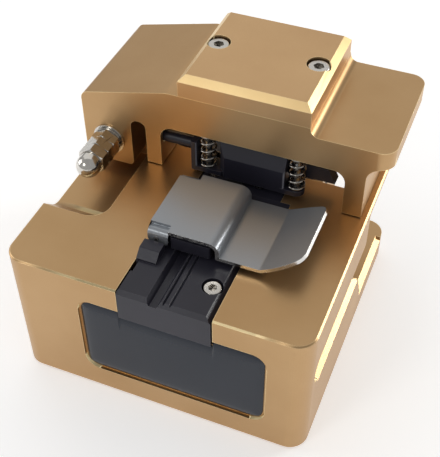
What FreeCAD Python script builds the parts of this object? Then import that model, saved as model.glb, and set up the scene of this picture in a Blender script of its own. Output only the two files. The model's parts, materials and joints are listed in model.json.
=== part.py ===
import FreeCAD, Part
import math
import os
import Sketcher

# Fibre cleaver: a machined block with a hinged press lever over a sliding blade.
#
# Every sub-part is drawn in the deck frame: X runs right from the left wall, Y runs back from
# the front wall and Z is counted from the deck.  The placement then moves it to the part's own
# frame, whose origin is the centre of the underside.  The label, the ramp and the guide's front
# screw keep their distance from the front wall, and what works on the fibre its distance from
# the back wall.

# ---------------------------------------------------------------- driving sizes (mm)

SIZES = {
    # base block
    "base_width": 80.0,
    "base_depth": 80.0,
    "base_height": 41.4,
    "base_round": 5.0,
    "base_break": 0.4,
    # bare label plate in the front wall
    "label_left": 19.8,
    "label_right": 69.6,
    "label_top": 7.5,
    "label_tall": 26.3,
    "label_round": 4.0,
    "label_recess": 0.9,
    "label_thick": 0.7,
    "label_gap": 0.6,
    # bottom plate, its screws and the feet
    "plate_inset": 5.0,
    "plate_thick": 3.0,
    "plate_gap": 0.15,
    "plate_screw_inset": 9.0,
    "foot_inset": 18.0,
    "foot_radius": 5.0,
    "foot_thick": 2.0,
    "foot_proud": 0.5,
    # fibre guide in its channel
    "guide_left": 31.3,
    "guide_width": 24.2,
    "guide_thick": 9.6,
    "guide_gap": 0.1,
    "guide_side_gap": 0.45,
    "heel_right": 60.0,
    "heel_long": 6.0,
    "fibre_line": 43.4,
    "groove_wide": 3.8,
    "groove_deep": 1.7,
    "guide_screw_across": 52.0,
    "guide_screw_front": 10.0,
    "magnet_across": 52.4,
    "magnet_back": 54.0,
    "magnet_radius": 2.0,
    "magnet_deep": 2.0,
    # lowered floor at the hinge
    "ledge_width": 17.15,
    "ledge_drop": 5.4,
    "ledge_front": 20.4,
    "ledge_round": 5.5,
    # finger slot in the right wall, and the side chamber behind it
    "slot_front": 5.4,
    "slot_top": 12.9,
    "slot_tall": 7.6,
    "slot_deep": 2.2,
    "slot_overlap": 12.0,
    "chamber_left": 63.0,
    "chamber_front": 30.3,
    "chamber_floor": 33.0,
    "roof_thick": 2.0,
    "lip_bevel": 1.5,
    # mechanism pocket under the lever
    "pocket_left": 10.0,
    "pocket_right": 60.0,
    "pocket_front": 25.4,
    "pocket_back": 6.0,
    "pocket_roof": 8.4,
    "window_left": 22.0,
    "window_right": 73.0,
    "window_front": 25.0,
    # hinge
    "hinge_across": 7.3,
    "hinge_high": 5.0,
    "lug_round": 6.5,
    "lug_front": 26.0,
    "lug_back": 8.0,
    "bolt_radius": 2.0,
    "bush_radius": 3.0,
    "bush_long": 7.0,
    "bolt_seat": 4.2,
    "washer_thick": 0.5,
    "lock_thick": 0.7,
    "nut_thick": 3.2,
    "nut_corner": 4.04,
    "acorn_tall": 8.0,
    "run_gap": 0.05,
    # press lever
    "lever_front": 34.6,
    "lever_depth": 34.9,
    "lever_right": 84.2,
    "lever_left_top": 18.5,
    "lever_top": 24.6,
    "lever_bend": 25.0,
    "plateau_top": 22.1,
    "plateau_left": 63.4,
    "overhang_low": 17.0,
    "pier_right": 78.2,
    "arch_right": 73.1,
    "arch_left": 22.7,
    "arch_top": 13.5,
    "pier_left": 18.5,
    "pillar_right": 14.1,
    "pillar_low": 2.5,
    "pier_gap": 0.3,
    "plateau_round": 4.0,
    # lever cap
    "cap_left": 28.2,
    "cap_width": 35.0,
    "cap_depth": 34.1,
    "cap_tall": 6.1,
    "cap_bevel": 1.7,
    "cap_screw_inset": 4.0,
    "cap_screw_back": 17.9,
    # lower clamps let into the deck behind the guide
    "seat_front": 36.5,
    "seat_deep": 4.0,
    "seat_left": 34.0,
    "seat_right": 57.2,
    "seat_screw_front": 31.0,
    "seat_screw_back": 3.0,
    "seat_screw_aside": 6.5,
    "pad_wide": 4.0,
    "pad_inset": 1.9,
    # clamp carried by the lever
    "clamp_left": 38.9,
    "clamp_right": 57.1,
    "clamp_front": 34.0,
    "clamp_back": 14.0,
    "clamp_low": 1.0,
    "clamp_top": 11.8,
    "clamp_slope": 4.0,
    "clamp_travel": 1.2,
    "ear_left": 31.0,
    "ear_right": 62.2,
    "ear_back": 29.0,
    "ear_top": 2.4,
    "wing_right": 69.4,
    "stud_left": 35.3,
    "stud_right": 59.9,
    "stud_back": 31.8,
    "rod_radius": 1.5,
    "rod_back": 31.4,
    "rod_high": 8.2,
    # hinged press plate
    "sheet": 1.0,
    "flap_left": 31.9,
    "flap_step": 49.8,
    "flap_bend": 61.4,
    "flap_right": 71.0,
    "flap_front": 63.0,
    "flap_back": 40.5,
    "flap_high": 5.3,
    "flap_low": 1.3,
    "flap_tip": 6.4,
    "pin_across": 34.3,
    "pin_high": 3.0,
    "pin_radius": 0.6,
    # blade, its carriage and rails
    "blade_radius": 8.0,
    "blade_thick": 0.6,
    "blade_line": 23.0,
    "blade_top": 0.1,
    "blade_across": 31.5,
    "carriage_left": 12.0,
    "carriage_right": 35.0,
    "carriage_front": 22.0,
    "carriage_back": 6.5,
    "carriage_top": 5.0,
    "carriage_tail": 9.2,
    "nose_left": 23.5,
    "carriage_low": 30.0,
    "carriage_travel": 20.5,
    "rail_radius": 2.0,
    "rail_bush_radius": 3.0,
    "rail_bush_long": 5.0,
    "rail_front": 18.0,
    "rail_back": 10.0,
    "rail_deep": 24.0,
    "rail_seat": 4.0,
    # push arm and its button
    "arm_front": 16.5,
    "arm_back": 10.5,
    "arm_top": 11.0,
    "arm_low": 19.0,
    # screws: radius and height of the head, radius and length of the shank, corner of the key
    "plate_screw_head": 2.7,
    "plate_screw_tall": 1.5,
    "plate_screw_shank": 1.45,
    "plate_screw_long": 4.3,
    "plate_screw_key": 1.0,
    "guide_screw_head": 2.25,
    "guide_screw_tall": 2.4,
    "guide_screw_shank": 1.25,
    "guide_screw_long": 11.0,
    "guide_screw_key": 1.15,
    "cap_screw_head": 2.75,
    "cap_screw_tall": 3.0,
    "cap_screw_shank": 1.45,
    "cap_screw_long": 7.0,
    "cap_screw_key": 1.44,
    "bolt_head": 3.5,
    "bolt_tall": 4.0,
    "bolt_key": 1.73,
    "clamp_screw_head": 1.7,
    "clamp_screw_tall": 1.1,
    "clamp_screw_shank": 1.0,
    "clamp_screw_grip": 5.0,
    "clamp_screw_key": 0.6,
    "seat_screw_head": 1.9,
    "seat_screw_tall": 1.8,
    "seat_screw_shank": 1.0,
    "seat_screw_long": 5.0,
    "seat_screw_key": 0.9,
    "axle_head": 2.2,
    "axle_tall": 1.2,
    "axle_shank": 1.0,
    "axle_long": 6.5,
    "axle_key": 0.8,
}


class Size:
    """A length together with the sheet formula that it comes from."""

    def __init__(self, value, text):
        self.value = value
        self.text = text

    def joined(self, other, sign, value):
        return Size(value, "(" + self.text + " " + sign + " " + sized(other).text + ")")

    def __add__(self, other):
        return self.joined(other, "+", self.value + sized(other).value)

    def __sub__(self, other):
        return self.joined(other, "-", self.value - sized(other).value)

    def __mul__(self, other):
        return self.joined(other, "*", self.value * sized(other).value)

    def __truediv__(self, other):
        return self.joined(other, "/", self.value / sized(other).value)

    def __radd__(self, other):
        return sized(other) + self

    def __rsub__(self, other):
        return sized(other) - self

    def __rmul__(self, other):
        return sized(other) * self

    def __neg__(self):
        return sized(0.0) - self


def sized(number):
    """Wrap a plain number so that it can stand in a formula."""
    if isinstance(number, Size):
        return number
    return Size(float(number), repr(float(number)))


doc = FreeCAD.newDocument("FibreCleaver")
sheet = doc.addObject("Spreadsheet::Sheet", "Sizes")
for row, (alias, number) in enumerate(SIZES.items(), start=1):
    sheet.set("A%d" % row, alias)
    sheet.set("B%d" % row, str(number))
    sheet.setAlias("B%d" % row, alias)
doc.recompute()


class SizeTable:
    """The sheet's sizes by name, such as S.base_width."""

    def __getattr__(self, alias):
        return Size(SIZES[alias], "Sizes." + alias)


class BackTable:
    """Places along Y whose size is counted from the back wall, such as B.blade_line."""

    def __getattr__(self, alias):
        return S.base_depth - getattr(S, alias)


S = SizeTable()
B = BackTable()
NODES = {}

# ---------------------------------------------------------------- sketch and feature helpers


def bind(target, prop, size):
    """Tie one property of an object to a formula of the sheet."""
    target.setExpression(prop, sized(size).text)


def place(target, x=0.0, y=0.0, z=0.0, turn=None):
    """Put a sub-part at a point of the deck frame, turned if asked."""
    rotation = turn or FreeCAD.Rotation()
    corner = (sized(x) - S.base_width / 2, sized(y) - S.base_depth / 2, sized(z) + S.base_height)
    target.Placement = FreeCAD.Placement(FreeCAD.Vector(*[c.value for c in corner]), rotation)
    for axis, coordinate in zip("xyz", corner):
        bind(target, "Placement.Base." + axis, coordinate)


def new_body(label, **where):
    """A sub-part made by PartDesign features, placed in the deck frame."""
    body = doc.addObject("PartDesign::Body", label)
    body.Label = label
    place(body, **where)
    return body


def keep(label, *solids):
    """Give a node its solids; several solids share the node as separate pieces."""
    NODES[label] = list(solids)


def rounded_corner(before, corner, after, radius):
    """Entry point, exit point and centre of a corner rounded by a radius, and its turn."""
    into = (corner - before).normalize()
    out = (after - corner).normalize()
    turn = into.x * out.y - into.y * out.x
    half = math.acos(max(-1.0, min(1.0, into.dot(out)))) / 2
    back = radius * math.tan(half)
    entry = corner - into * back
    leave = corner + out * back
    side = FreeCAD.Vector(-into.y, into.x, 0) * (radius if turn > 0 else -radius)
    return entry, leave, entry + side, turn


def draw_outline(sketch, corners):
    """Closed outline through (u, v) or (u, v, radius) corners, each tied to its formula."""
    corners = [tuple(sized(c) for c in corner) for corner in corners]
    points = [FreeCAD.Vector(c[0].value, c[1].value, 0) for c in corners]
    count = len(points)
    fits = []
    for i, corner in enumerate(corners):
        radius = corner[2].value if len(corner) > 2 else 0.0
        fit = rounded_corner(points[i - 1], points[i], points[(i + 1) % count], radius)
        fits.append(fit if radius > 0 else (points[i], points[i], None, 0))
    lines = []
    for i in range(count):
        line = Part.LineSegment(fits[i][1], fits[(i + 1) % count][0])
        lines.append(sketch.addGeometry(line, False))
    rules = []
    ties = []

    def rule(size, *parts):
        if size is not None:
            ties.append((len(rules), size))
        rules.append(Sketcher.Constraint(*parts))

    for i, corner in enumerate(corners):
        u, v = corner[0], corner[1]
        before, after = lines[i - 1], lines[i]
        entry, leave, centre, turn = fits[i]
        if centre is None:
            rule(None, "Coincident", before, 2, after, 1)
            rule(u, "DistanceX", after, 1, u.value)
            rule(v, "DistanceY", after, 1, v.value)
            continue
        radius = corner[2]
        start, end = (entry, leave) if turn > 0 else (leave, entry)
        low = math.atan2(start.y - centre.y, start.x - centre.x)
        high = math.atan2(end.y - centre.y, end.x - centre.x)
        if high < low:
            high += 2 * math.pi
        circle = Part.Circle(centre, FreeCAD.Vector(0, 0, 1), radius.value)
        arc = sketch.addGeometry(Part.ArcOfCircle(circle, low, high), False)
        point = sketch.addGeometry(Part.Point(points[i]), True)
        first, last = (1, 2) if turn > 0 else (2, 1)
        rule(u, "DistanceX", point, 1, u.value)
        rule(v, "DistanceY", point, 1, v.value)
        rule(None, "PointOnObject", point, 1, before)
        rule(None, "PointOnObject", point, 1, after)
        rule(None, "Tangent", before, 2, arc, first)
        rule(None, "Tangent", arc, last, after, 1)
        rule(radius, "Radius", arc, radius.value)
    add_rules(sketch, rules, ties)


def draw_circle(sketch, u, v, radius):
    """A circle whose centre and radius are tied to their formulas."""
    u, v, radius = sized(u), sized(v), sized(radius)
    centre = FreeCAD.Vector(u.value, v.value, 0)
    circle = sketch.addGeometry(Part.Circle(centre, FreeCAD.Vector(0, 0, 1), radius.value), False)
    rules = [
        Sketcher.Constraint("DistanceX", circle, 3, u.value),
        Sketcher.Constraint("DistanceY", circle, 3, v.value),
        Sketcher.Constraint("Radius", circle, radius.value),
    ]
    add_rules(sketch, rules, [(0, u), (1, v), (2, radius)])


def add_rules(sketch, rules, ties):
    """Add constraints at once and tie the measured ones to the sheet."""
    start = len(sketch.Constraints)
    sketch.addConstraint(rules)
    for index, size in ties:
        if "Sizes." in size.text:
            sketch.setExpression("Constraints[%d]" % (start + index), size.text)


def new_sketch(body, plane, offset, shapes):
    """A sketch on one of the body's own planes: lists are outlines, tuples are circles."""
    sketch = body.newObject("Sketcher::SketchObject", body.Label + "_sketch")
    role = plane + "_Plane"
    own = [feature for feature in body.Origin.OriginFeatures if feature.Role == role][0]
    sketch.AttachmentSupport = [(own, "")]
    sketch.MapMode = "FlatFace"
    offset = sized(offset)
    sketch.AttachmentOffset = FreeCAD.Placement(
        FreeCAD.Vector(0, 0, offset.value), FreeCAD.Rotation())
    bind(sketch, "AttachmentOffset.Base.z", offset)
    for shape in shapes:
        if isinstance(shape, tuple):
            draw_circle(sketch, *shape)
        else:
            draw_outline(sketch, shape)
    return sketch


def pad(body, plane, low, high, *shapes):
    """Add a prism between two levels along the plane's axis."""
    offset = -sized(high) if plane == "XZ" else low
    feature = body.newObject("PartDesign::Pad", body.Label + "_pad")
    feature.Profile = new_sketch(body, plane, offset, shapes)
    bind(feature, "Length", sized(high) - low)
    return feature


def cut(body, plane, low, high, *shapes):
    """Remove a prism between two levels along the plane's axis."""
    offset = -sized(low) if plane == "XZ" else high
    feature = body.newObject("PartDesign::Pocket", body.Label + "_cut")
    feature.Profile = new_sketch(body, plane, offset, shapes)
    bind(feature, "Length", sized(high) - low)
    return feature


def turn_solid(body, *shapes):
    """Add a solid turned about the body's own Z axis from an outline of (radius, height)."""
    feature = body.newObject("PartDesign::Revolution", body.Label + "_turn")
    sketch = new_sketch(body, "XZ", 0.0, shapes)
    feature.Profile = sketch
    feature.ReferenceAxis = (sketch, ["V_Axis"])
    feature.Angle = 360
    return feature


def box_outline(left, right, low, high, radius=0.0):
    """A rectangle's corners, rounded if a radius is given."""
    corners = [(left, low), (right, low), (right, high), (left, high)]
    if isinstance(radius, Size) or radius > 0:
        corners = [corner + (radius,) for corner in corners]
    return corners


def hexagon(radius, start=0):
    """A hexagon's corners, radius being centre to corner, from a first corner's angle."""
    angles = [math.radians(start + 60 * i) for i in range(6)]
    return [(sized(radius) * math.cos(angle), sized(radius) * math.sin(angle)) for angle in angles]


def edges_where(body, wanted):
    """Names of the edges of a body's present shape that pass a test, in the deck frame."""
    doc.recompute()
    shape = body.Tip.Shape
    return ["Edge%d" % (i + 1) for i, edge in enumerate(shape.Edges) if wanted(edge)]


def blend(body, kind, size, wanted):
    """Fillet or chamfer the edges that pass a test."""
    names = edges_where(body, wanted)
    before = body.Tip
    feature = body.newObject("PartDesign::" + kind, body.Label + "_" + kind.lower())
    feature.Base = (before, names)
    bind(feature, "Radius" if kind == "Fillet" else "Size", size)
    body.Tip = feature
    return feature


def near(a, b):
    """Whether two lengths are the same within a thousandth."""
    return abs(a - sized(b).value) < 1e-3


def edge_box(edge):
    """The least and greatest coordinates of an edge."""
    box = edge.BoundBox
    return box.XMin, box.XMax, box.YMin, box.YMax, box.ZMin, box.ZMax


def level_edge(edge, z):
    """Whether an edge lies all at one height."""
    box = edge.BoundBox
    return near(box.ZMin, z) and near(box.ZMax, z)


OVER = 1.0  # how far a cut runs past the face that it opens


# ---------------------------------------------------------------- base block

def make_base_block():
    body = new_body("base_block")
    wide, deep, tall = S.base_width, S.base_depth, S.base_height
    pad(body, "XY", -tall, 0.0, box_outline(0.0, wide, 0.0, deep, S.base_round))
    blend(body, "Chamfer", S.base_break,
          lambda edge: level_edge(edge, 0.0) or level_edge(edge, -tall))
    # label recess in the front wall
    cut(body, "XZ", -OVER, S.label_recess,
        box_outline(S.label_left, S.label_right, -(S.label_top + S.label_tall), -S.label_top,
                    S.label_round))
    # guide channel, and the seats of the two lower clamps in line with it
    guide_right = S.guide_left + S.guide_width
    cut(body, "XY", -S.guide_thick, OVER,
        box_outline(S.guide_left - S.guide_gap, guide_right + S.guide_side_gap, -OVER,
                    B.seat_front + S.guide_gap))
    heel_front = B.seat_front - S.heel_long
    cut(body, "XY", -S.guide_thick, OVER,
        [(S.guide_left, heel_front - S.guide_gap),
         (S.heel_right + S.guide_gap, heel_front - S.guide_gap, 1.0),
         (S.heel_right + S.guide_gap, B.seat_front + S.guide_gap),
         (S.guide_left, B.seat_front + S.guide_gap)])
    # lowered floor behind a curved ramp
    ramp = [
        (S.ledge_front, 0.0),
        (S.ledge_front, OVER),
        (deep + OVER, OVER),
        (deep + OVER, -S.ledge_drop),
        (S.ledge_front + S.ledge_drop, -S.ledge_drop, 5.0),
    ]
    cut(body, "YZ", -OVER, S.ledge_width, ramp)
    round_out = S.ledge_round + OVER
    pad(body, "XY", -(S.ledge_drop + 0.5), 0.0,
        [(S.ledge_width, S.ledge_front, S.ledge_round),
         (S.ledge_width, S.ledge_front + round_out),
         (S.ledge_width + OVER, S.ledge_front + round_out),
         (S.ledge_width + OVER, S.ledge_front - OVER),
         (S.ledge_width - round_out, S.ledge_front - OVER),
         (S.ledge_width - round_out, S.ledge_front)])
    # finger slot along the right wall
    slot_low = S.slot_top + S.slot_tall
    cut(body, "YZ", wide - S.slot_deep, wide + OVER,
        box_outline(S.slot_front, B.chamber_front - 2.0, -slot_low, -S.slot_top,
                    S.slot_tall / 2 - 0.01))
    # side chamber, open to the right and to the back
    chamber = [
        (B.chamber_front - S.slot_overlap, -S.slot_top),
        (B.chamber_front - S.slot_overlap, -slot_low, 1.0),
        (B.chamber_front - 5.0, -slot_low, 5.0),
        (B.chamber_front + 1.0, -S.chamber_floor, 5.0),
        (deep + OVER, -S.chamber_floor),
        (deep + OVER, -S.roof_thick),
        (B.chamber_front, -S.roof_thick, 1.0),
        (B.chamber_front, -S.slot_top, 1.0),
    ]
    cut(body, "YZ", S.chamber_left, wide + OVER, chamber)
    # mechanism pocket from below, and the window above it
    cut(body, "XY", -(tall + OVER), -S.pocket_roof,
        box_outline(S.pocket_left, S.pocket_right, B.pocket_front, B.pocket_back, 2.0))
    cut(body, "XY", -(S.pocket_roof + 0.1), OVER,
        box_outline(S.window_left, S.window_right, B.window_front, B.pocket_back, 2.0))
    # recess for the bottom plate
    cut(body, "XY", -(tall + OVER), -(tall - S.plate_thick),
        box_outline(S.plate_inset, wide - S.plate_inset, S.plate_inset, deep - S.plate_inset, 4.0))
    # seats of the lower clamps
    left, right = S.seat_left, S.seat_right
    cut(body, "XY", -S.seat_deep, OVER,
        box_outline(left - S.guide_gap, right + S.guide_gap, B.seat_front, B.window_front + 3.0))
    cut(body, "XY", -S.seat_deep, OVER,
        box_outline(left - S.guide_gap, right + S.guide_gap, B.pocket_back - 3.0, deep - 0.8))
    # way through the wall for the push arm
    cut(body, "YZ", S.pocket_right - OVER, S.chamber_left + OVER,
        box_outline(B.arm_front - 0.3, B.arm_back + 0.3, -(S.arm_low + 0.3), -(S.arm_top - 0.3), 1.0))
    # rail seats: blind on the left, open through the wall on the right
    cut(body, "YZ", S.pocket_left - S.rail_seat, S.pocket_left + OVER,
        (B.rail_front, -S.rail_deep, S.rail_radius),
        (B.rail_back, -S.rail_deep, S.rail_radius))
    cut(body, "YZ", S.pocket_right - OVER, S.chamber_left + OVER,
        (B.rail_front, -S.rail_deep, S.rail_radius),
        (B.rail_back, -S.rail_deep, S.rail_radius))
    # threads of the guide, clamp and bottom plate screws
    cut(body, "XY", -(S.guide_thick + 5.5), -(S.guide_thick - OVER),
        *[(x, y, S.guide_screw_shank) for x, y in guide_screw_spots()])
    cut(body, "XY", -(S.seat_deep + 4.0), -(S.seat_deep - OVER),
        *[(x, y, S.seat_screw_shank) for x, y in clamp_screw_spots()])
    cut(body, "XY", -(tall + OVER), -(tall - S.plate_thick - 3.2),
        *[(x, y, 1.5) for x, y in plate_spots(S.plate_screw_inset)])
    # hinge lug standing on the lowered floor
    lug = [
        (S.hinge_across - S.lug_round, -(S.ledge_drop + 1.0)),
        (S.hinge_across + S.lug_round, -(S.ledge_drop + 1.0)),
        (S.hinge_across + S.lug_round, S.hinge_high + S.lug_round, S.lug_round - 0.01),
        (S.hinge_across - S.lug_round, S.hinge_high + S.lug_round, S.lug_round - 0.01),
    ]
    pad(body, "XZ", B.lug_front, B.lug_back, lug)
    cut(body, "XZ", B.lug_front - OVER, B.lug_back + OVER,
        (S.hinge_across, S.hinge_high, S.bush_radius))
    # bevelled outer lips of the finger slot and of the chamber floor
    bevel_lip(body, slot_low, S.slot_front + 3.5, B.chamber_front - 5.0)
    bevel_lip(body, S.chamber_floor, B.chamber_front + 1.0, deep - 6.0)
    keep("base_block", body)


def bevel_lip(body, deep, front, back):
    """Bevel the right wall's edge at a depth, between two places along Y."""
    wide, bevel = S.base_width, S.lip_bevel
    corner = [
        (wide - bevel, -deep),
        (wide - bevel, -deep + OVER),
        (wide + OVER, -deep + OVER),
        (wide + OVER, -deep - bevel - OVER),
    ]
    cut(body, "XZ", front, back, corner)


def guide_screw_spots():
    return [(S.guide_screw_across, S.guide_screw_front), (S.guide_screw_across, B.seat_front - 8.0)]


def clamp_screw_spots():
    spots = []
    for y in (B.seat_screw_front, B.seat_screw_back):
        for aside in (-S.seat_screw_aside, S.seat_screw_aside):
            spots.append((S.fibre_line + aside, y))
    return spots


def plate_spots(inset):
    """Four places set in from the corners of the base."""
    near_side, far_x, far_y = inset, S.base_width - inset, S.base_depth - inset
    return [(near_side, near_side), (far_x, near_side), (near_side, far_y), (far_x, far_y)]


# ---------------------------------------------------------------- plates, feet and screws

def make_label_plate():
    body = new_body("label_plate")
    gap = S.label_gap
    low = -(S.label_top + S.label_tall)
    pad(body, "XZ", S.label_recess - S.label_thick, S.label_recess,
        box_outline(S.label_left + gap, S.label_right - gap, low + gap, -S.label_top - gap,
                    S.label_round - gap))
    # notch for the guide, which passes over the recess
    cut(body, "XZ", -OVER, S.label_recess + OVER,
        box_outline(S.guide_left - gap, S.guide_left + S.guide_width + gap,
                    -(S.guide_thick + gap), -(S.label_top - OVER)))
    keep("label_plate", body)


def make_bottom_plate():
    body = new_body("bottom_plate")
    tall, inset = S.base_height, S.plate_inset + S.plate_gap
    pad(body, "XY", -tall, -(tall - S.plate_thick),
        box_outline(inset, S.base_width - inset, inset, S.base_depth - inset, 3.85))
    sink = S.foot_thick - S.foot_proud
    cut(body, "XY", -(tall + OVER), -(tall - sink),
        *[(x, y, S.foot_radius) for x, y in plate_spots(S.foot_inset)])
    cut(body, "XY", -(tall + OVER), -(tall - 1.6),
        *[(x, y, 2.9) for x, y in plate_spots(S.plate_screw_inset)])
    cut(body, "XY", -(tall + OVER), -(tall - S.plate_thick - OVER),
        *[(x, y, 1.6) for x, y in plate_spots(S.plate_screw_inset)])
    keep("bottom_plate", body)


def make_rubber_feet():
    feet = []
    for i, (x, y) in enumerate(plate_spots(S.foot_inset)):
        body = new_body("rubber_foot_%d" % (i + 1), x=x, y=y, z=-(S.base_height + S.foot_proud))
        outline = [
            (0.0, 0.0),
            (S.foot_radius - 0.05, 0.0, 0.4),
            (S.foot_radius - 0.05, S.foot_thick),
            (0.0, S.foot_thick),
        ]
        turn_solid(body, outline)
        feet.append(body)
    keep("rubber_feet", *feet)


def make_screw(label, kind, shank_radius, length, **where):
    """A socket screw of one kind: its axis is Z, and its head stands on the origin."""
    body = new_body(label, **where)
    head_radius, head_tall, key = [getattr(S, kind + part) for part in ("_head", "_tall", "_key")]
    outline = [
        (0.0, -length),
        (shank_radius, -length),
        (shank_radius, 0.0),
        (head_radius, 0.0),
        (head_radius, head_tall, 0.3),
        (0.0, head_tall),
    ]
    turn_solid(body, outline)
    cut(body, "XY", head_tall * 0.45, head_tall + OVER, hexagon(key))
    return body


def make_bottom_plate_screws():
    screws = []
    over = FreeCAD.Rotation(FreeCAD.Vector(1, 0, 0), 180)
    for i, (x, y) in enumerate(plate_spots(S.plate_screw_inset)):
        screws.append(make_screw("bottom_plate_screw_%d" % (i + 1), "plate_screw",
                                 S.plate_screw_shank, S.plate_screw_long,
                                 x=x, y=y, z=-(S.base_height - 1.6), turn=over))
    keep("bottom_plate_screws", *screws)


# ---------------------------------------------------------------- fibre guide

def make_fibre_guide():
    body = new_body("fibre_guide")
    left, right = S.guide_left, S.guide_left + S.guide_width
    centre = S.fibre_line
    # end view: bevelled right edge, two fine Vs for the bare fibre and a wide groove for its jacket
    wide_right = centre - 0.7
    wide_left = wide_right - S.groove_wide
    end_view = [
        (left, -S.guide_thick + 0.05),
        (right, -S.guide_thick + 0.05),
        (right, -1.4),
        (right - 1.4, 0.0),
        (centre + 2.1, 0.0),
        (centre + 1.7, -0.5),
        (centre + 1.3, 0.0),
        (centre + 0.4, 0.0),
        (centre, -0.6),
        (centre - 0.4, 0.0),
        (wide_right, 0.0),
        (wide_right - 1.0, -S.groove_deep),
        (wide_left + 1.0, -S.groove_deep),
        (wide_left, 0.0),
        (left + 0.4, 0.0),
        (left, -0.4),
    ]
    pad(body, "XZ", 0.0, B.seat_front, end_view)
    front_bevel = [(-OVER, -1.0 - OVER), (1.0 + OVER, OVER), (-OVER, OVER)]
    cut(body, "YZ", left - OVER, right + OVER, front_bevel)
    # heel that widens the guide at its back
    pad(body, "XY", -S.guide_thick + 0.05, 0.0,
        [(right - 2.0, B.seat_front - S.heel_long), (S.heel_right, B.seat_front - S.heel_long, 0.8),
         (S.heel_right, B.seat_front), (right - 2.0, B.seat_front)])
    # shoulder on the left with a sloped front, and the knuckle that holds the plate's pin
    shoulder = [
        (B.flap_front - 5.8, -0.5),
        (B.flap_front - 0.6, -0.5),
        (B.flap_front - 0.6, 2.5),
        (B.flap_front - 3.6, 2.5, 0.5),
        (B.flap_front - 5.8, 0.6),
    ]
    pad(body, "YZ", left + 0.1, S.pin_across + 2.4, shoulder)
    knuckle = [
        (S.pin_across - 1.05, -0.5),
        (S.pin_across + 2.2, -0.5),
        (S.pin_across + 2.2, S.pin_high + 1.05, 0.3),
        (S.pin_across - 1.05, S.pin_high + 1.05, 1.04),
    ]
    pad(body, "XZ", B.flap_front + 1.3, B.flap_back - 1.3, knuckle)
    cut(body, "XZ", B.flap_front, B.flap_back, (S.pin_across, S.pin_high, S.pin_radius))
    # notch in the left edge, screw seats and the magnet's seat
    cut(body, "XY", -S.guide_thick - OVER, OVER,
        box_outline(left - OVER, left + 0.9, B.flap_front - 9.6, B.flap_front - 5.8))
    for x, y in guide_screw_spots():
        cut(body, "XY", -2.8, OVER, (x, y, S.guide_screw_head + 0.4))
        cut(body, "XY", -S.guide_thick - OVER, -1.0, (x, y, S.guide_screw_shank + 0.1))
    cut(body, "XY", -S.magnet_deep, OVER, (S.magnet_across, B.magnet_back, S.magnet_radius))
    keep("fibre_guide", body)


def make_guide_parts():
    screws = []
    for i, (x, y) in enumerate(guide_screw_spots()):
        screws.append(make_screw("guide_screw_%d" % (i + 1), "guide_screw", S.guide_screw_shank,
                                 S.guide_screw_long, x=x, y=y, z=-2.8))
    keep("guide_screws", *screws)
    magnet = new_body("guide_magnet", x=S.magnet_across, y=B.magnet_back, z=-S.magnet_deep)
    radius, tall = S.magnet_radius - 0.02, S.magnet_deep - 0.1
    turn_solid(magnet, [(0.0, 0.0), (radius, 0.0), (radius, tall, 0.2), (0.0, tall)])
    keep("guide_magnet", magnet)


# ---------------------------------------------------------------- hinged press plate

def make_press_plate():
    body = new_body("press_plate")
    sheet_thick = S.sheet
    top, low = S.flap_high, S.flap_low
    rise = (S.flap_tip - S.flap_low)
    run = S.flap_right - S.flap_bend
    # side view of the bent strip: raised flat, step down, lower flat and lifted tab
    strip = [
        (S.flap_left, top),
        (S.flap_left, top - sheet_thick),
        (S.flap_step - sheet_thick, top - sheet_thick, 0.4),
        (S.flap_step - sheet_thick, low - sheet_thick, 1.4),
        (S.flap_bend + 0.25, low - sheet_thick, 2.0),
        (S.flap_right + 0.5, low - sheet_thick + rise - 0.1),
        (S.flap_right, low + rise),
        (S.flap_bend, low, 1.0),
        (S.flap_step, low, 0.4),
        (S.flap_step, top, 1.4),
    ]
    pad(body, "XZ", B.flap_front, B.flap_back, strip)
    # ears turned down at the front and back of the raised flat, for the pin
    ear = [
        (S.flap_left, top - sheet_thick / 2),
        (S.flap_left, S.pin_high - 1.8, 1.5),
        (S.flap_left + 5.5, S.pin_high - 1.8, 0.6),
        (S.flap_left + 5.5, top - sheet_thick / 2),
    ]
    pad(body, "XZ", B.flap_front, B.flap_front + sheet_thick, ear)
    pad(body, "XZ", B.flap_back - sheet_thick, B.flap_back, ear)
    # swept front corner and clipped back corner of the tab
    sweep = [
        (S.flap_bend, B.flap_front - OVER),
        (S.flap_bend, B.flap_front),
        (S.flap_bend + run * 0.55, B.flap_front + 1.0, 8.0),
        (S.flap_right, B.flap_front + 3.4, 1.2),
        (S.flap_right + 3.0, B.flap_front + 7.0),
        (S.flap_right + 3.0, B.flap_front - OVER),
    ]
    cut(body, "XY", -OVER, top + 3.0, sweep)
    clip = [
        (S.flap_right - 1.2, B.flap_back + OVER),
        (S.flap_right - 1.2, B.flap_back),
        (S.flap_right, B.flap_back - 1.4, 0.5),
        (S.flap_right + 3.0, B.flap_back - 1.4),
        (S.flap_right + 3.0, B.flap_back + OVER),
    ]
    cut(body, "XY", -OVER, top + 3.0, clip)
    cut(body, "XZ", B.flap_front - OVER, B.flap_back + OVER,
        (S.pin_across, S.pin_high, S.pin_radius + S.run_gap))
    keep("press_plate", body)


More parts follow.
